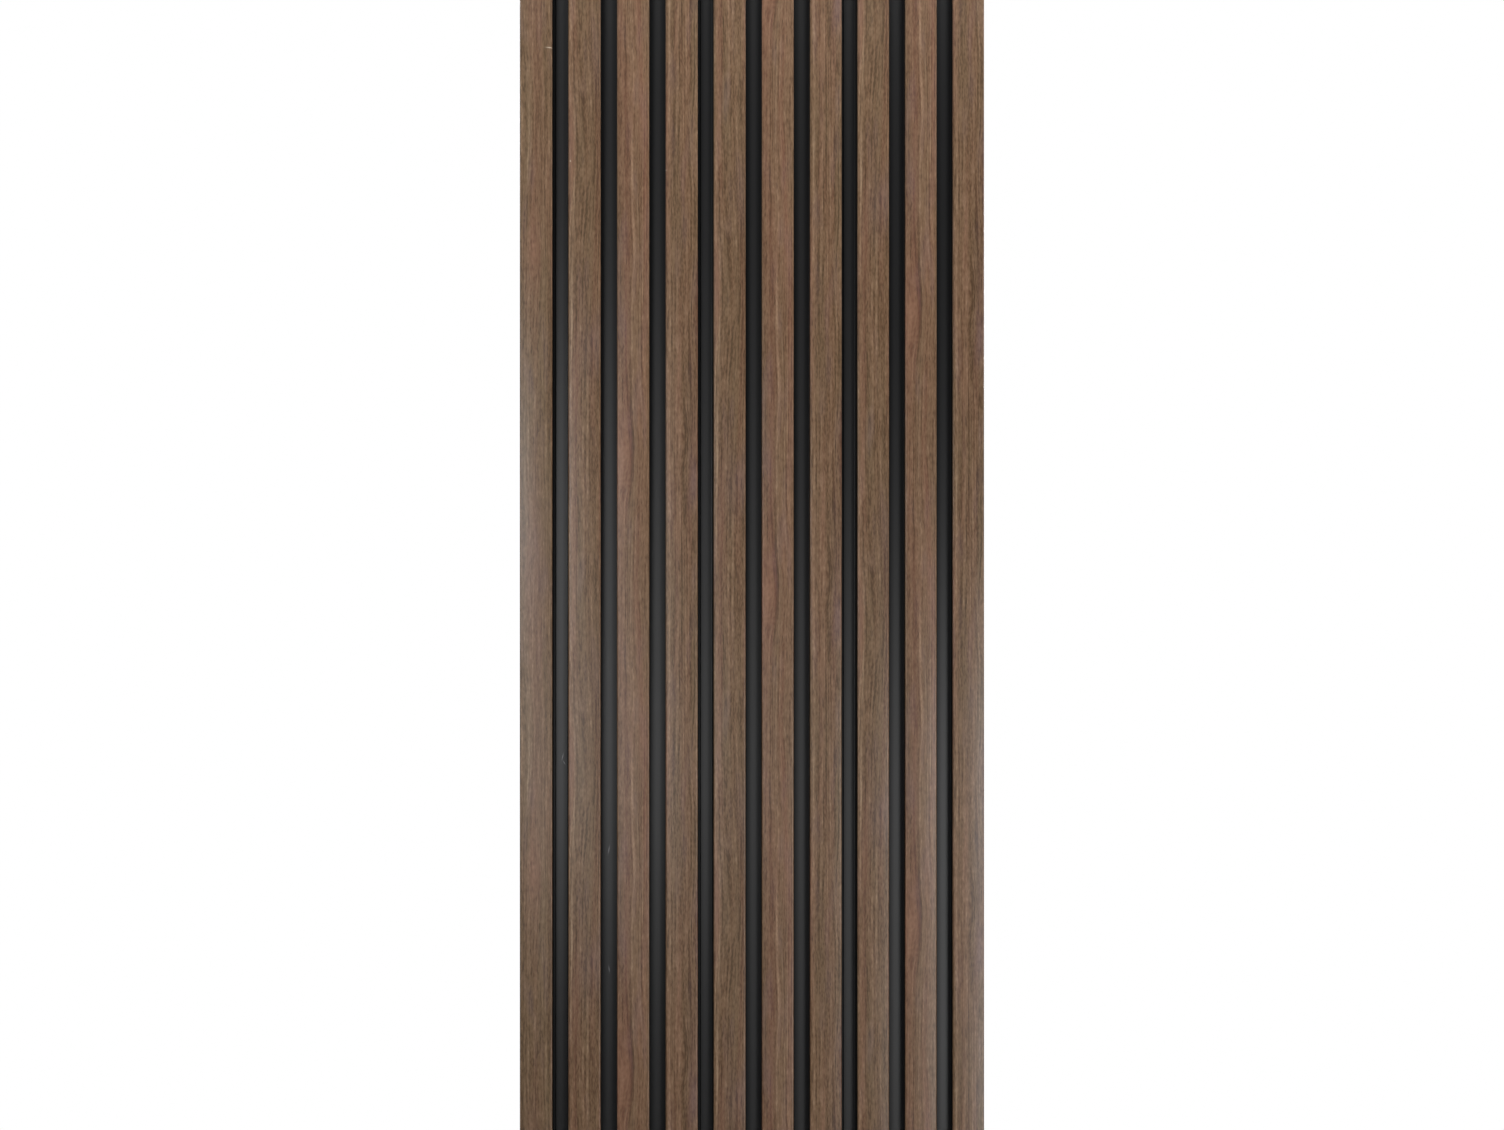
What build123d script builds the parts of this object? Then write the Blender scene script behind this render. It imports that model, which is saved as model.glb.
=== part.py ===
from build123d import *
import os

os.makedirs("parts", exist_ok=True)

# A slatted wall panel: an end trim and three-slat profiles that interlock, bonded to a wall.
# Every profile is one extrusion of foamed polystyrene, and each slat on it is wrapped in foil.
# +Z runs up the slats, -Y faces the room and the wall is at y = 0.
# The origin is at the bottom of the panel, in the middle of its back.

# Panel, in millimetres
panel_length = 2650.0
panel_depth = 12.0
profile_count = 3
slats_per_profile = 3

# Slats, measured over their foil, and the grooves between them
slat_width = 27.0
groove_width = 13.8
joint_groove_width = 13.4
web_thickness = 4.0
groove_fillet = 0.8
joint_fillet = 2.2

# Decor foil
foil_thickness = 0.3
edge_radius = 1.2
foil_turn_in = 0.4

# Tongue and rebate of the lap joint
tongue_thickness = 3.2
tongue_reach = 8.0
tongue_show = 2.6
tongue_slope = 0.8
tongue_chamfer = 0.8
lap_clearance = 0.3
tip_clearance = 0.5

# Adhesive grooves on the back
glue_grooves_per_slat = 3
glue_groove_width = 2.4
glue_groove_depth = 0.6
glue_groove_angle = 60
glue_groove_spacing = 4.6

# Sizes that follow from these
core_width = slat_width - 2 * foil_thickness
core_depth = panel_depth - foil_thickness
core_radius = edge_radius - foil_thickness
foil_return = edge_radius + foil_turn_in
slat_pitch = slat_width + groove_width
profile_width = slats_per_profile * slat_width + (slats_per_profile - 1) * groove_width
profile_pitch = profile_width + joint_groove_width
panel_width = slat_width + profile_count * profile_pitch
panel_left = -panel_width / 2
rebate_height = tongue_thickness + lap_clearance
rebate_width = tongue_reach + tip_clearance


def draw_slats(centres):
    """Sections of the slat cores, from the wall to the foil, with eased front edges."""
    with BuildSketch() as slats:
        with Locations(*[(centre, 0) for centre in centres]):
            Rectangle(core_width, core_depth, align=(Align.CENTER, Align.MAX))
        fillet(slats.vertices().group_by(Axis.Y)[0], core_radius)
    return slats.sketch


def web_corners(sketch):
    """Corner points level with the front of the web, from left to right."""
    corners = sketch.vertices().filter_by(lambda point: abs(point.Y + web_thickness) < 0.001)
    return corners.sort_by(Axis.X)


def draw_web(left, right, centres):
    """Slats joined by the thin web that is the floor of the grooves."""
    with BuildSketch() as base:
        add(draw_slats(centres))
        with Locations((left, 0)):
            Rectangle(right - left, web_thickness, align=(Align.MIN, Align.MAX))
        fillet(web_corners(base)[2:], groove_fillet)
        fillet(web_corners(base)[1], joint_fillet)
    return base.sketch


def draw_tongue(web_left, tip):
    """Lowered edge of the web that slips behind the neighbour's last slat."""
    with BuildSketch() as tongue:
        with BuildLine():
            Polyline(
                (web_left, 0),
                (web_left, -web_thickness),
                (web_left - tongue_slope, -tongue_thickness),
                (tip + tongue_chamfer, -tongue_thickness),
                (tip, tongue_chamfer - tongue_thickness),
                (tip, 0),
                close=True,
            )
        make_face()
    return tongue.sketch


def cut_rebate(last_centre):
    """Step in the back of a last slat, open at its right side, for the next tongue."""
    with Locations((last_centre + core_width / 2, 0)):
        Rectangle(rebate_width, rebate_height, align=(Align.MAX, Align.MAX), mode=Mode.SUBTRACT)


def cut_glue_grooves(centre):
    """Shallow lengthwise grooves that key the adhesive behind one slat."""
    with Locations((centre, 0)):
        with GridLocations(glue_groove_spacing, 0, glue_grooves_per_slat, 1):
            Trapezoid(
                glue_groove_width,
                glue_groove_depth,
                glue_groove_angle,
                rotation=180,
                align=(Align.CENTER, Align.MIN),
                mode=Mode.SUBTRACT,
            )


# End trim: a single slat that covers the first profile's tongue and ends the panel on the left
trim_centre = panel_left + slat_width / 2

with BuildPart() as end_trim:
    with BuildSketch():
        add(draw_slats([trim_centre]))
        cut_rebate(trim_centre)
        cut_glue_grooves(trim_centre - rebate_width / 2)
    extrude(amount=panel_length)

end_trim.part.label = "end_trim"
export_step(end_trim.part, "parts/end_trim.step")

# Slat profiles, each hooked behind the last slat of the one on its left
foil_centres = [trim_centre]

for number in range(profile_count):
    joint_left = panel_left + slat_width + number * profile_pitch
    first_centre = joint_left + joint_groove_width + slat_width / 2
    centres = [first_centre + place * slat_pitch for place in range(slats_per_profile)]
    foil_centres += centres
    web_left = joint_left + tongue_show
    web_right = centres[-1] + core_width / 2
    tongue_tip = joint_left - foil_thickness - tongue_reach

    with BuildPart() as slat_profile:
        with BuildSketch():
            add(draw_web(web_left, web_right, centres))
            add(draw_tongue(web_left, tongue_tip))
            cut_rebate(centres[-1])
            for centre in centres[:-1]:
                cut_glue_grooves(centre)
            cut_glue_grooves(centres[-1] - rebate_width / 2)
        extrude(amount=panel_length)

    slat_profile.part.label = f"slat_profile_{number + 1}"
    export_step(slat_profile.part, f"parts/{slat_profile.part.label}.step")

# Decor foil: one strip over the front of each slat, turned back just past its rounded edges
for number, centre in enumerate(foil_centres, start=1):
    with BuildPart() as slat_foil:
        with BuildSketch() as wrap:
            with Locations((centre, -panel_depth)):
                Rectangle(slat_width, foil_return, align=(Align.CENTER, Align.MIN))
            fillet(wrap.vertices().group_by(Axis.Y)[0], edge_radius)
            add(draw_slats([centre]), mode=Mode.SUBTRACT)
        extrude(amount=panel_length)

    slat_foil.part.label = f"slat_foil_{number:02d}"
    export_step(slat_foil.part, f"parts/{slat_foil.part.label}.step")
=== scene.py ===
import math

import bmesh
import bpy
from mathutils import Matrix, Vector


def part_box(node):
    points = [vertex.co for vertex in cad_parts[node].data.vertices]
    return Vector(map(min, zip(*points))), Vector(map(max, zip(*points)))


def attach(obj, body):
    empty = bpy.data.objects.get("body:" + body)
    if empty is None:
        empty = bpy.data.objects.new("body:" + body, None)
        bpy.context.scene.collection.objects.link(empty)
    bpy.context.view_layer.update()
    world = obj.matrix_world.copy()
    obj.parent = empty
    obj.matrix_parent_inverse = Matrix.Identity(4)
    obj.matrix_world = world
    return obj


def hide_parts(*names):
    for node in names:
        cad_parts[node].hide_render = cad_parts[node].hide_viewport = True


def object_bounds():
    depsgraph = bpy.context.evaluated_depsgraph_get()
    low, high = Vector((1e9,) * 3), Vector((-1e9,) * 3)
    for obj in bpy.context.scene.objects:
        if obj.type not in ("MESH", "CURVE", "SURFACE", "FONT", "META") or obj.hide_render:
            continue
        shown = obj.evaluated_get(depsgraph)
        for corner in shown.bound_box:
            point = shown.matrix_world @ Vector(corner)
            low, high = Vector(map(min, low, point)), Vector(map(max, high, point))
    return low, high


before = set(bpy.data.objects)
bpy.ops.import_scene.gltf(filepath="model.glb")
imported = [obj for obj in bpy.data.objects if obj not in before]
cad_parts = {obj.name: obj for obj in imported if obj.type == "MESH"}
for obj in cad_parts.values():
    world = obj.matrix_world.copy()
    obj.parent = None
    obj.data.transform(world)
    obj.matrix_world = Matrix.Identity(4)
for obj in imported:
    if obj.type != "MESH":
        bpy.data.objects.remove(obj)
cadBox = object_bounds()
scene = bpy.context.scene
scene.view_settings.view_transform = "Standard"
print("frame loaded:", len(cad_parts), "nodes")

mm = 0.001
weighted = {"operation": "MULTIPLY_ADD"}  # Math: first value times the second, plus the third


# helpers

def tone(hexText):  # an sRGB hex colour as linear RGBA
    channels = [int(hexText[place:place + 2], 16) / 255 for place in (1, 3, 5)]
    return [c / 12.92 if c <= 0.04045 else ((c + 0.055) / 1.055) ** 2.4 for c in channels] + [1]


def addNode(tree, kind, settings, inputs):  # a node with its settings, and its sockets set or linked
    node = tree.nodes.new(kind)
    for name, value in settings.items():
        setattr(node, name, value)
    for name, value in inputs.items():
        if isinstance(value, bpy.types.NodeSocket):
            tree.links.new(value, node.inputs[name])
        else:
            node.inputs[name].default_value = value
    return node


def softSpot(tree, source, centre, reach, lean=0):  # a value of 1 at the centre, gone beyond its reach
    away = addNode(tree, "ShaderNodeMapping", {"vector_type": "TEXTURE"}, {
        "Vector": source, "Location": centre, "Rotation": (0, math.radians(lean), 0), "Scale": reach})
    square = addNode(tree, "ShaderNodeVectorMath", {"operation": "DOT_PRODUCT"},
                     {0: away.outputs[0], 1: away.outputs[0]})
    spot = addNode(tree, "ShaderNodeMath", {"operation": "POWER"},
                   {0: math.exp(-1), 1: square.outputs["Value"]})
    return spot.outputs[0]


def addMarks(tree, source, marks, depthReach, colour, markTone):  # small marks laid over a colour
    for across, depth, height, width, length, lean in marks:
        centre = (across * mm, depth * mm, height * mm)
        reach = (width * mm, depthReach, length * mm)
        share = softSpot(tree, source, centre, reach, lean)
        colour = addNode(tree, "ShaderNodeMix", {"data_type": "RGBA"},
                         {0: share, 6: colour, 7: markTone}).outputs[2]
    return colour


def emptyMaterial(name):
    material = bpy.data.materials.new(name)
    material.use_nodes = True
    material.node_tree.nodes.clear()
    return material, material.node_tree


def addObject(name, mesh):
    thing = bpy.data.objects.new(name, mesh)
    scene.collection.objects.link(thing)
    return thing


# walnut decor foil: a printed film, lightly embossed along the grain and satin lacquered. The eye gets fine
# brown streaks that sway past knots, rosy and olive bands, short dark pores and a soft sheen.

walnutPrint = {
    "repeat": 521 * mm,  # one turn of the print cylinder, after which the pattern comes back
    "lanePitch": 40.8 * mm,  # from one slat's print to the next across the roll
    "tones": ("#38271a", "#59412d", "#6f563f", "#7d624b", "#998066"),
    "tonePlaces": (0.0, 0.3, 0.5, 0.68, 1.0),
    "middleTone": 0.5,
    "streaks": {  # size across and along the grain in mm, detail, strength
        "wholeRoll": (1.5, 4000, 1.0, 0.48),
        "broad": (6.5, 150, 1.0, 0.12),
        "long": (1.5, 170, 0.5, 0.56),
        "middle": (1.4, 46, 0.5, 0.50),
        "short": (1.2, 12, 0.0, 0.46),
        "fleck": (0.9, 3.2, 0.0, 0.48),
    },
    "seeds": range(3, 90, 7),  # one for each noise, which starts it at that many steps
    "seedStep": (1.37, 0.61, 0.83),
    "wander": (18, 120, 2.2),  # slow sway of all lines: across, along and reach in mm
    "bows": [  # where lines swing aside: lane, across, height, width, length and reach in mm
        (1, 3, 1672, 12, 78, 5.6),
        (1, -12, 1672, 5, 60, 1.6),
        (2, -3, 1418, 7, 36, 4.4),
        (2, 9, 1440, 4, 40, 2.2),
        (2, 5, 1305, 6, 34, -2.4),
        (2, 0, 1738, 5, 24, 2.2),
        (2, 1, 1590, 5, 30, 2.0),
        (3, 10, 1690, 4, 28, -3.0),
        (3, 4, 1430, 5, 26, 3.2),
        (3, 9, 1540, 4, 30, -2.6),
        (5, -6, 1700, 8, 52, 3.4),
        (5, 2, 1580, 6, 30, 2.0),
        (5, -3, 1338, 8, 46, 3.2),
    ],
    "shades": [  # lighter or darker spots: lane, across, height, width, length in mm and strength
        (1, -11.5, 1500, 2.0, 9000, 0.16),
        (1, -7, 1440, 2.2, 160, -0.15),
        (1, 6, 1672, 4, 70, -0.10),
        (2, -6, 1500, 2.4, 9000, -0.12),
        (2, 0, 1560, 2.6, 190, 0.14),
        (2, -4, 1420, 1.8, 44, -0.30),
        (2, 8, 1500, 1.2, 9000, 0.06),
        (2, 10, 1505, 6, 95, -0.11),
        (3, -11, 1500, 3, 9000, 0.08),
        (3, 6, 1480, 3.4, 50, -0.14),
        (3, -5, 1425, 3, 34, 0.12),
        (3, 11, 1685, 3, 40, 0.16),
        (5, -8, 1500, 1.8, 9000, 0.12),
        (2, 0, 1500, 20, 9000, 0.05),
        (2, 0, 1146, 20, 62, -0.055),
        (3, 0, 1146, 20, 62, -0.055),
        (3, 0, 1502, 20, 50, 0.07),
        (1, 0, 1485, 20, 30, -0.06),
    ],
    "hues": {"rosy": "#936453", "olive": "#695e46", "lavender": "#796474"},
    "hueBand": (8.0, 190),  # size across and along in mm of the drift from rosy to olive
    "lavenderBand": (9.0, 60),
    "hueShares": {"rosy": (1.0, -0.5), "olive": (-1.0, 0.5), "lavender": (0.55, -0.3)},  # noise times, plus
    "mostHue": 0.6,
    "tints": [  # patches of another hue: name, lane, across, height, width, length in mm and strength
        ("rosy", 1, -13.5, 1675, 2.4, 48, 0.34),
        ("rosy", 2, -7, 1420, 5, 40, 0.16),
        ("rosy", 3, -10, 1410, 4, 60, 0.12),
        ("rosy", 5, -2, 1590, 5, 26, 0.20),
        ("rosy", 2, 0, 1500, 20, 9000, 0.10),
        ("lavender", 1, 8, 1752, 5, 30, 0.09),
        ("lavender", 1, 3, 1508, 9, 28, 0.10),
        ("lavender", 2, -8, 1530, 5, 40, 0.08),
        ("lavender", 3, 9, 1420, 5, 55, 0.08),
        ("lavender", 5, -4, 1330, 9, 60, 0.10),
        ("olive", 2, 3, 1512, 3, 48, 0.20),
        ("olive", 1, -4, 1300, 5, 40, 0.12),
        ("olive", 3, -2, 1300, 6, 40, 0.12),
        ("olive", 5, 6, 1560, 6, 90, 0.16),
        ("olive", 5, 0, 1500, 20, 9000, 0.08),
    ],
    "pore": "#33241b",
    "poreSize": (0.7, 9.0),  # mm across and along the grain
    "poreLevels": (0.64, 0.74),  # noise at which a pore begins and is full
    "poreShare": 0.38,
    "nicks": [  # across, depth, height, half width, half length in mm and lean in degrees
        (-171.6, -12, 1758.8, 2.6, 0.4, 4),
        (-74.6, -11.6, 1657.5, 0.7, 0.5, 0),
        (-154.3, -12, 1664, 0.5, 0.7, 0),
    ],
    "nickDepth": 3 * mm,
    "nicked": "#c4b5a1",
    "roughness": 0.34,
    "filmIOR": 1.5,
    "emboss": 0.03 * mm,
    "embossStrength": 0.6,
    "poreDent": 1.5,
}


def makeWalnutPrint():
    material, tree = emptyMaterial("walnutPrintFoil")
    look = walnutPrint
    turn = 2 * math.pi / look["repeat"]
    seeds = iter(look["seeds"])

    # the flat print is wound onto its cylinder, so that it meets itself after one turn
    printed = addNode(tree, "ShaderNodeUVMap", {"uv_map": "print"}, {})
    split = addNode(tree, "ShaderNodeSeparateXYZ", {}, {0: printed.outputs[0]})
    angle = addNode(tree, "ShaderNodeMath", {"operation": "MULTIPLY"}, {0: split.outputs[1], 1: turn})
    cosine = addNode(tree, "ShaderNodeMath", {"operation": "COSINE"}, {0: angle.outputs[0]})
    sine = addNode(tree, "ShaderNodeMath", {"operation": "SINE"}, {0: angle.outputs[0]})
    wound = addNode(tree, "ShaderNodeCombineXYZ", {},
                    {0: split.outputs[0], 1: cosine.outputs[0], 2: sine.outputs[0]})
    roll = addNode(tree, "ShaderNodeVectorMath", {"operation": "MULTIPLY"},
                   {0: wound.outputs[0], 1: (1, 1 / turn, 1 / turn)}).outputs[0]

    def grain(size, detail, source):  # noise whose cells are size mm across and along the grain
        seed = next(seeds)
        stretch = addNode(tree, "ShaderNodeMapping", {}, {
            "Vector": source, "Location": [seed * step for step in look["seedStep"]],
            "Scale": (1 / size[0] / mm, 1 / size[1] / mm, 1 / size[1] / mm)})
        return addNode(tree, "ShaderNodeTexNoise", {}, {
            "Vector": stretch.outputs[0], "Scale": 1.0, "Detail": detail}).outputs[0]

    def rollSpot(lane, across, height, width, length, source):  # a soft spot at its place on the roll
        turned = height * mm * turn
        centre = (lane * look["lanePitch"] + across * mm, math.cos(turned) / turn, math.sin(turned) / turn)
        return softSpot(tree, source, centre, (width * mm, length * mm, length * mm))

    # sway: every line of the grain moves aside by the wander and the bows
    wander = look["wander"]
    aside = addNode(tree, "ShaderNodeMath", weighted, {
        0: grain(wander, 1.0, roll), 1: -wander[2] * mm, 2: wander[2] * mm / 2}).outputs[0]
    for lane, across, height, width, length, reach in look["bows"]:
        bow = rollSpot(lane, across, height, width, length, roll)
        aside = addNode(tree, "ShaderNodeMath", weighted, {0: bow, 1: -reach * mm, 2: aside}).outputs[0]
    shift = addNode(tree, "ShaderNodeCombineXYZ", {}, {0: aside})
    swayed = addNode(tree, "ShaderNodeVectorMath", {"operation": "ADD"},
                     {0: roll, 1: shift.outputs[0]}).outputs[0]

    # brown tones: streaks of six sizes round the middle tone, then the lighter and darker spots
    level = look["middleTone"] - sum(streak[3] for streak in look["streaks"].values()) / 2
    for across, along, detail, strength in look["streaks"].values():
        streak = grain((across, along), detail, swayed)
        level = addNode(tree, "ShaderNodeMath", weighted, {0: streak, 1: strength, 2: level}).outputs[0]
    streaks = level
    for lane, across, height, width, length, strength in look["shades"]:
        spot = rollSpot(lane, across, height, width, length, swayed)
        level = addNode(tree, "ShaderNodeMath", weighted, {0: spot, 1: strength, 2: level}).outputs[0]
    brown = addNode(tree, "ShaderNodeValToRGB", {}, {0: level})
    ramp = brown.color_ramp.elements
    while len(ramp) < len(look["tones"]):
        ramp.new(look["middleTone"])
    for element, place, hexText in zip(ramp, look["tonePlaces"], look["tones"]):
        element.position = place
        element.color = tone(hexText)
    colour = brown.outputs[0]

    # hues: a slow drift from rosy to olive, lavender clouds, and the patches
    drift = grain(look["hueBand"], 2.0, swayed)
    clouds = grain(look["lavenderBand"], 1.0, swayed)
    shares = {}
    for name, source in (("rosy", drift), ("olive", drift), ("lavender", clouds)):
        slope, start = look["hueShares"][name]
        shares[name] = addNode(tree, "ShaderNodeMath", weighted, {0: source, 1: slope, 2: start}).outputs[0]
    for name, lane, across, height, width, length, strength in look["tints"]:
        patch = rollSpot(lane, across, height, width, length, swayed)
        least = addNode(tree, "ShaderNodeMath", {"operation": "MAXIMUM"}, {0: shares[name], 1: 0.0})
        shares[name] = addNode(tree, "ShaderNodeMath", weighted,
                               {0: patch, 1: strength, 2: least.outputs[0]}).outputs[0]
    for name, share in shares.items():
        held = addNode(tree, "ShaderNodeClamp", {}, {0: share, 2: look["mostHue"]})
        colour = addNode(tree, "ShaderNodeMix", {"data_type": "RGBA"},
                         {0: held.outputs[0], 6: colour, 7: tone(look["hues"][name])}).outputs[2]

    # pores and nicks
    begin, full = look["poreLevels"]
    pores = addNode(tree, "ShaderNodeMapRange", {}, {
        "Value": grain(look["poreSize"], 0.0, swayed), "From Min": begin, "From Max": full,
        "To Max": look["poreShare"]})
    wood = addNode(tree, "ShaderNodeMix", {"data_type": "RGBA"},
                   {0: pores.outputs[0], 6: colour, 7: tone(look["pore"])})
    place = addNode(tree, "ShaderNodeTexCoord", {}, {}).outputs["Object"]
    colour = addMarks(tree, place, look["nicks"], look["nickDepth"], wood.outputs[2], tone(look["nicked"]))

    relief = addNode(tree, "ShaderNodeMath", weighted,
                     {0: pores.outputs[0], 1: -look["poreDent"], 2: streaks})
    bump = addNode(tree, "ShaderNodeBump", {}, {
        "Height": relief.outputs[0], "Distance": look["emboss"], "Strength": look["embossStrength"]})
    surface = addNode(tree, "ShaderNodeBsdfPrincipled", {}, {
        "Base Color": colour, "Roughness": look["roughness"], "IOR": look["filmIOR"],
        "Normal": bump.outputs[0]})
    addNode(tree, "ShaderNodeOutputMaterial", {}, {"Surface": surface.outputs[0]})
    return material


# extruded polystyrene: black foam with a closed satin skin. Its gloss is highest along the middle of each
# groove and falls towards its corners, which paints shade there. The slats' sides are dull, and their
# darker black is painted shade. The sawn ends and the keyed back are matt, with the foam's cells open.

blackFoam = {
    "skin": "#161617",
    # the slats' sides: a darker black than the skin, painted shade on the groove walls and into their
    # corners
    "sides": "#101010",
    "back": "#1f1f20",
    "sawn": "#29292a",
    "sidesFacing": (0.15, 0.5),  # how far a face turns that way before it counts, and counts in full
    "backFacing": (0.3, 0.6),
    "sawnFacing": (0.5, 0.8),
    "skinRoughness": 0.36,
    "sideRoughness": 0.75,
    "mattRoughness": 0.68,
    "grooveMiddle": -162.8 * mm,  # of the first groove
    "groovePitch": 40.675 * mm,  # from one groove to the next, on average
    # painted shade: the gloss is full near a groove's middle and falls to skinGloss towards its corners
    "cornerShadeBand": (1.2 * mm, 6.2 * mm),  # half the width that shines in full, and where the shine ends
    "middleGloss": 0.57,
    "skinGloss": 0.22,
    "mattGloss": 0.5,
    "sideGloss": 0.1,
    "foamIOR": 1.55,
    "drawLines": (0.6, 0.6, 300),  # mm, left along the profile by the die
    "lineRoughness": 0.08,
    "lineRelief": 0.12,
    "cells": 0.35 * mm,
    "relief": 0.05 * mm,
    "reliefStrength": 0.7,
    "scratches": [  # across, depth, height, half width, half length in mm and lean in degrees
        (-161.5, -4, 1163, 0.35, 2.6, 14),
        (-160.2, -4, 1158, 0.3, 1.6, -30),
        (-122.6, -4, 1084, 0.35, 2.8, 10),
        (-122.4, -4, 983, 0.3, 2.2, -8),
    ],
    "scratchDepth": 3 * mm,
    "scratched": "#6d6d70",
}


def makeBlackFoam():
    material, tree = emptyMaterial("blackPolystyreneSkin")
    look = blackFoam
    coords = addNode(tree, "ShaderNodeTexCoord", {}, {})
    place = coords.outputs["Object"]
    signed = addNode(tree, "ShaderNodeSeparateXYZ", {}, {0: coords.outputs["Normal"]})
    facing = addNode(tree, "ShaderNodeVectorMath", {"operation": "ABSOLUTE"}, {0: coords.outputs["Normal"]})
    unsigned = addNode(tree, "ShaderNodeSeparateXYZ", {}, {0: facing.outputs[0]})

    # the slats' sides, the back and the sawn ends are told apart by where their faces point
    # the sides' darker black is painted shade on the groove walls
    shares = {}
    colour = tone(look["skin"])
    for name, turned in (("sides", unsigned.outputs["X"]), ("back", signed.outputs["Y"]),
                         ("sawn", unsigned.outputs["Z"])):
        begin, full = look[name + "Facing"]
        shares[name] = addNode(tree, "ShaderNodeMapRange", {},
                               {"Value": turned, "From Min": begin, "From Max": full}).outputs[0]
        colour = addNode(tree, "ShaderNodeMix", {"data_type": "RGBA"},
                         {0: shares[name], 6: colour, 7: tone(look[name])}).outputs[2]
    matt = addNode(tree, "ShaderNodeMath", {"operation": "MAXIMUM"},
                   {0: shares["back"], 1: shares["sawn"]}).outputs[0]
    colour = addMarks(tree, place, look["scratches"], look["scratchDepth"], colour, tone(look["scratched"]))

    drawn = addNode(tree, "ShaderNodeMapping", {}, {
        "Vector": place, "Scale": [1 / size / mm for size in look["drawLines"]]})
    lines = addNode(tree, "ShaderNodeTexNoise", {}, {
        "Vector": drawn.outputs[0], "Scale": 1.0, "Detail": 2.0})
    cells = addNode(tree, "ShaderNodeTexNoise", {}, {
        "Vector": place, "Scale": 1 / look["cells"], "Detail": 1.0})
    opened = addNode(tree, "ShaderNodeMath", {"operation": "MULTIPLY"}, {0: cells.outputs[0], 1: matt})
    height = addNode(tree, "ShaderNodeMath", weighted,
                     {0: lines.outputs[0], 1: look["lineRelief"], 2: opened.outputs[0]})
    bump = addNode(tree, "ShaderNodeBump", {}, {
        "Height": height.outputs[0], "Distance": look["relief"], "Strength": look["reliefStrength"]})

    satin = addNode(tree, "ShaderNodeMix", {},
                    {0: matt, 2: look["skinRoughness"], 3: look["mattRoughness"]})
    dull = addNode(tree, "ShaderNodeMix", {},
                   {0: shares["sides"], 2: satin.outputs[0], 3: look["sideRoughness"]})
    uneven = addNode(tree, "ShaderNodeMath", weighted,
                     {0: lines.outputs[0], 1: look["lineRoughness"], 2: dull.outputs[0]})

    # painted shade: the skin's gloss is highest along the middle of each groove and falls towards its
    # corners
    across = addNode(tree, "ShaderNodeSeparateXYZ", {}, {0: place}).outputs["X"]
    fromFirst = addNode(tree, "ShaderNodeMath", {"operation": "SUBTRACT"},
                        {0: across, 1: look["grooveMiddle"]})
    fromMiddle = addNode(tree, "ShaderNodeMath", {"operation": "PINGPONG"},
                         {0: fromFirst.outputs[0], 1: look["groovePitch"] / 2})
    begin, end = look["cornerShadeBand"]
    shine = addNode(tree, "ShaderNodeMapRange", {}, {
        "Value": fromMiddle.outputs[0], "From Min": begin, "From Max": end,
        "To Min": look["middleGloss"], "To Max": look["skinGloss"]})
    sheen = addNode(tree, "ShaderNodeMix", {}, {0: matt, 2: shine.outputs[0], 3: look["mattGloss"]})
    gloss = addNode(tree, "ShaderNodeMix", {},
                    {0: shares["sides"], 2: sheen.outputs[0], 3: look["sideGloss"]})
    surface = addNode(tree, "ShaderNodeBsdfPrincipled", {}, {
        "Base Color": colour, "Roughness": uneven.outputs[0], "IOR": look["foamIOR"],
        "Specular IOR Level": gloss.outputs[0], "Normal": bump.outputs[0]})
    addNode(tree, "ShaderNodeOutputMaterial", {}, {"Surface": surface.outputs[0]})
    return material


walnutFoil = makeWalnutPrint()
foamSkin = makeBlackFoam()
print("materials made")


# decor foil: a strip of film over each slat's front, turned back round both edges

foilWrap = {
    "thickness": 0.3 * mm,
    "edgeRadius": 1.2 * mm,
    "edgeSegments": 6,
    "cutSpacing": 50 * mm,
    "sharpAngle": 40,
    "profileShift": (0, -405 * mm, -644 * mm),  # where along the roll each profile's print was cut
    "slatsPerProfile": 3,
    "trimLane": 5,  # the end trim's print comes from another lane of the roll
}


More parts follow.
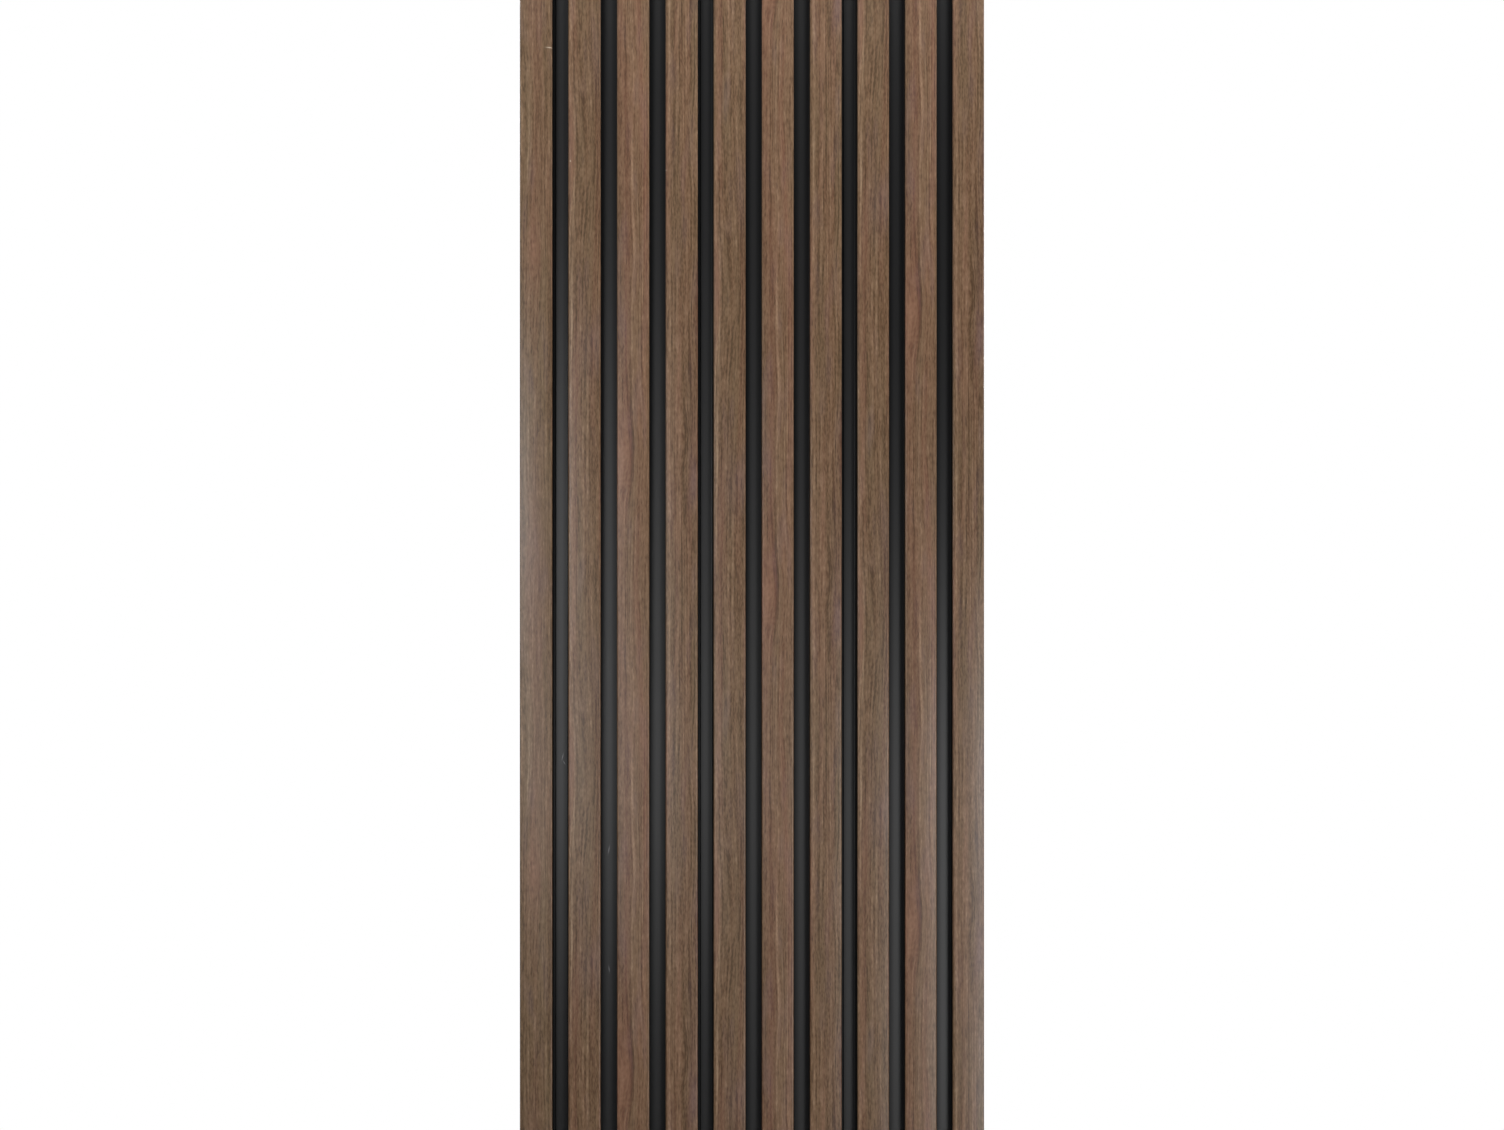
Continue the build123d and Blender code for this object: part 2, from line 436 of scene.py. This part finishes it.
def makeFoil(number):
    node = f"slat_foil_{number:02d}"
    low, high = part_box(node)
    middle = (low.x + high.x) / 2
    tall = high.z - low.z

    # one face over the slat's front, and a turned edge at each side
    bm = bmesh.new()
    lay = Matrix.Translation((middle, low.y, low.z + tall / 2)) @ Matrix.Rotation(math.radians(90), 4, "X")
    size = Matrix.Diagonal((high.x - low.x, tall, 1, 1))
    bmesh.ops.create_grid(bm, x_segments=1, y_segments=1, size=0.5, matrix=lay @ size)
    sides = [edge for edge in bm.edges if abs(edge.verts[0].co.x - edge.verts[1].co.x) < mm]
    turned = bmesh.ops.extrude_edge_only(bm, edges=sides)
    backVerts = [part for part in turned["geom"] if isinstance(part, bmesh.types.BMVert)]
    bmesh.ops.translate(bm, vec=(0, high.y - low.y, 0), verts=backVerts)
    bmesh.ops.bevel(bm, geom=sides, offset=foilWrap["edgeRadius"], offset_type="OFFSET",
                    segments=foilWrap["edgeSegments"], profile=0.5, affect="EDGES", material=-1)
    cuts = round(tall / foilWrap["cutSpacing"])
    for cut in range(1, cuts):
        parts = bm.verts[:] + bm.edges[:] + bm.faces[:]
        level = low.z + tall * cut / cuts
        bmesh.ops.bisect_plane(bm, geom=parts, plane_co=(0, 0, level), plane_no=(0, 0, 1))
    bmesh.ops.recalc_face_normals(bm, faces=bm.faces[:])
    if sum(face.normal.y * face.calc_area() for face in bm.faces) > 0:
        bmesh.ops.reverse_faces(bm, faces=bm.faces[:])
    bmesh.ops.solidify(bm, geom=bm.faces[:], thickness=foilWrap["thickness"])

    # the print's own map: metres across and along the roll, unfolded round the edges
    profile, lane = 0, foilWrap["trimLane"]
    if number > 1:
        profile, place = divmod(number - 2, foilWrap["slatsPerProfile"])
        lane = place + 1
    printAcross = lane * walnutPrint["lanePitch"]
    printAlong = foilWrap["profileShift"][profile]
    layer = bm.loops.layers.uv.new("print")
    for face in bm.faces:
        for loop in face.loops:
            spot = loop.vert.co
            across = spot.x - middle
            across += math.copysign(spot.y - low.y, across)
            loop[layer].uv = (printAcross + across, printAlong + spot.z)

    mesh = bpy.data.meshes.new(f"foilWrap_{number:02d}")
    bm.to_mesh(mesh)
    bm.free()
    mesh.shade_smooth()
    mesh.set_sharp_from_angle(angle=math.radians(foilWrap["sharpAngle"]))
    mesh.materials.append(walnutFoil)
    foil = addObject(mesh.name, mesh)
    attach(foil, "root")
    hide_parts(node)


slatCount = sum("foil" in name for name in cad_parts)
for number in range(1, slatCount + 1):
    makeFoil(number)
print("decor foil wrapped")

for name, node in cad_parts.items():
    if "foil" not in name:
        node.data.materials.clear()
        node.data.materials.append(foamSkin)
print("polystyrene profiles finished")


# floor: pale and plain, fading into the white background

floorPlate = {
    "colour": "#f8f7f5",
    "radius": 1.8,
    "fadeFrom": 0.2,
    "edges": 96,
    "height": -0.2 * mm,
}


def makeFloor():
    material, tree = emptyMaterial("paleStudioFloor")
    place = addNode(tree, "ShaderNodeTexCoord", {}, {}).outputs["Object"]
    reach = addNode(tree, "ShaderNodeVectorMath", {"operation": "LENGTH"}, {0: place})
    fade = addNode(tree, "ShaderNodeMapRange", {"interpolation_type": "SMOOTHSTEP"}, {
        "Value": reach.outputs["Value"],
        "From Min": floorPlate["fadeFrom"], "From Max": floorPlate["radius"]})
    pale = addNode(tree, "ShaderNodeBsdfDiffuse", {}, {"Color": tone(floorPlate["colour"])})
    clear = addNode(tree, "ShaderNodeBsdfTransparent", {}, {})
    mixed = addNode(tree, "ShaderNodeMixShader", {},
                    {0: fade.outputs[0], 1: pale.outputs[0], 2: clear.outputs[0]})
    addNode(tree, "ShaderNodeOutputMaterial", {}, {"Surface": mixed.outputs[0]})
    bm = bmesh.new()
    bmesh.ops.create_circle(bm, cap_ends=True, segments=floorPlate["edges"], radius=floorPlate["radius"],
                            matrix=Matrix.Translation((0, 0, floorPlate["height"])))
    mesh = bpy.data.meshes.new("studioFloor")
    bm.to_mesh(mesh)
    bm.free()
    mesh.materials.append(material)
    addObject("studioFloor", mesh)


makeFloor()


# world: white behind the panel for the camera and in its gloss, dim on the room side

studio = {
    "background": "#ffffff",
    "room": "#1c1c1d",  # what the gloss mirrors from the room side
    "fill": "#3c3c3d",  # what lights the shadows
    "behindFrom": -0.1,  # direction's share away from the room, where white begins and is full
    "behindFull": 0.25,
}


def makeWorld():
    world = bpy.data.worlds.new("studioWorld")
    scene.world = world
    world.use_nodes = True
    tree = world.node_tree
    tree.nodes.clear()
    rays = addNode(tree, "ShaderNodeLightPath", {}, {})
    place = addNode(tree, "ShaderNodeTexCoord", {}, {}).outputs["Generated"]
    away = addNode(tree, "ShaderNodeSeparateXYZ", {}, {0: place}).outputs["Y"]
    behind = addNode(tree, "ShaderNodeMapRange", {}, {
        "Value": away, "From Min": studio["behindFrom"], "From Max": studio["behindFull"]})
    seen = addNode(tree, "ShaderNodeMath", {"operation": "MAXIMUM"},
                   {0: rays.outputs["Is Camera Ray"], 1: rays.outputs["Is Transmission Ray"]})
    mirrored = addNode(tree, "ShaderNodeMath", {"operation": "MULTIPLY"},
                       {0: rays.outputs["Is Glossy Ray"], 1: behind.outputs[0]})
    white = addNode(tree, "ShaderNodeMath", {"operation": "MAXIMUM"},
                    {0: seen.outputs[0], 1: mirrored.outputs[0]})
    around = addNode(tree, "ShaderNodeMix", {"data_type": "RGBA"}, {
        0: rays.outputs["Is Glossy Ray"], 6: tone(studio["fill"]), 7: tone(studio["room"])})
    colour = addNode(tree, "ShaderNodeMix", {"data_type": "RGBA"}, {
        0: white.outputs[0], 6: around.outputs[2], 7: tone(studio["background"])})
    glow = addNode(tree, "ShaderNodeBackground", {}, {"Color": colour.outputs[2], "Strength": 1.0})
    addNode(tree, "ShaderNodeOutputWorld", {}, {"Surface": glow.outputs[0]})


makeWorld()


# lamps: softboxes aimed at the panel, by their bearing from straight in front and their height angle.
# Grids keep the high ones off the panel's upper end, which has a lamp of its own.

softboxes = {
    "distance": 1.5,
    "size": 0.4,
    "placed": {  # degrees to the right, degrees up, watts, degrees of spread, height of its aim in mm
        "highLeft": (-48, 65, 3.0, 90, 1325),
        "highRight": (76, 65, 5.2, 90, 1325),
        "topRight": (33, 65, 1.7, 90, 1325),
        "leftLevel": (-27, 5, 4.9, 180, 1325),
        "rightLow": (33, -15, 5.0, 180, 1325),
        "rightFloor": (33, -35, 2.7, 180, 1325),
        "frontLow": (-13, -15, 1.9, 180, 1325),
        "upperEnd": (30, 25, 0.65, 45, 2700),
        "behindRight": (150, 20, 9.0, 180, 1325),
        "behindLeft": (-150, 35, 6.0, 180, 1325),
    },
}


def makeSoftboxes():
    for name, (side, up, power, spread, height) in softboxes["placed"].items():
        turn, rise = math.radians(side), math.radians(up)
        level = math.cos(rise)
        outward = Vector((math.sin(turn) * level, -math.cos(turn) * level, math.sin(rise)))
        light = bpy.data.lights.new(name, "AREA")
        light.size = softboxes["size"]
        light.energy = power
        light.spread = math.radians(spread)
        lamp = bpy.data.objects.new(name, light)
        lamp.location = Vector((0, 0, height * mm)) + outward * softboxes["distance"]
        lamp.rotation_euler = (-outward).to_track_quat("-Z", "Y").to_euler()
        lamp.visible_camera = False
        scene.collection.objects.link(lamp)


makeSoftboxes()


# camera: level with the middle of the panel and turned a little to the right

cameraPlace = {
    "across": -53.2 * mm,
    "distance": 1080 * mm,  # from the slats' faces
    "height": 1325 * mm,
    "turnDegrees": 2.73,
    "focalPixels": 1280,
    "imageWidth": 1504,
    "sensorWidth": 36,
}


def makeCamera():
    data = bpy.data.cameras.new("mainCamera")
    data.sensor_width = cameraPlace["sensorWidth"]
    data.lens = cameraPlace["focalPixels"] * data.sensor_width / cameraPlace["imageWidth"]
    camera = bpy.data.objects.new("mainCamera", data)
    camera.location = (cameraPlace["across"], cadBox[0].y - cameraPlace["distance"], cameraPlace["height"])
    camera.rotation_euler = (math.radians(90), 0, -math.radians(cameraPlace["turnDegrees"]))
    scene.collection.objects.link(camera)
    scene.camera = camera


makeCamera()
print("floor, world, lamps and camera set")
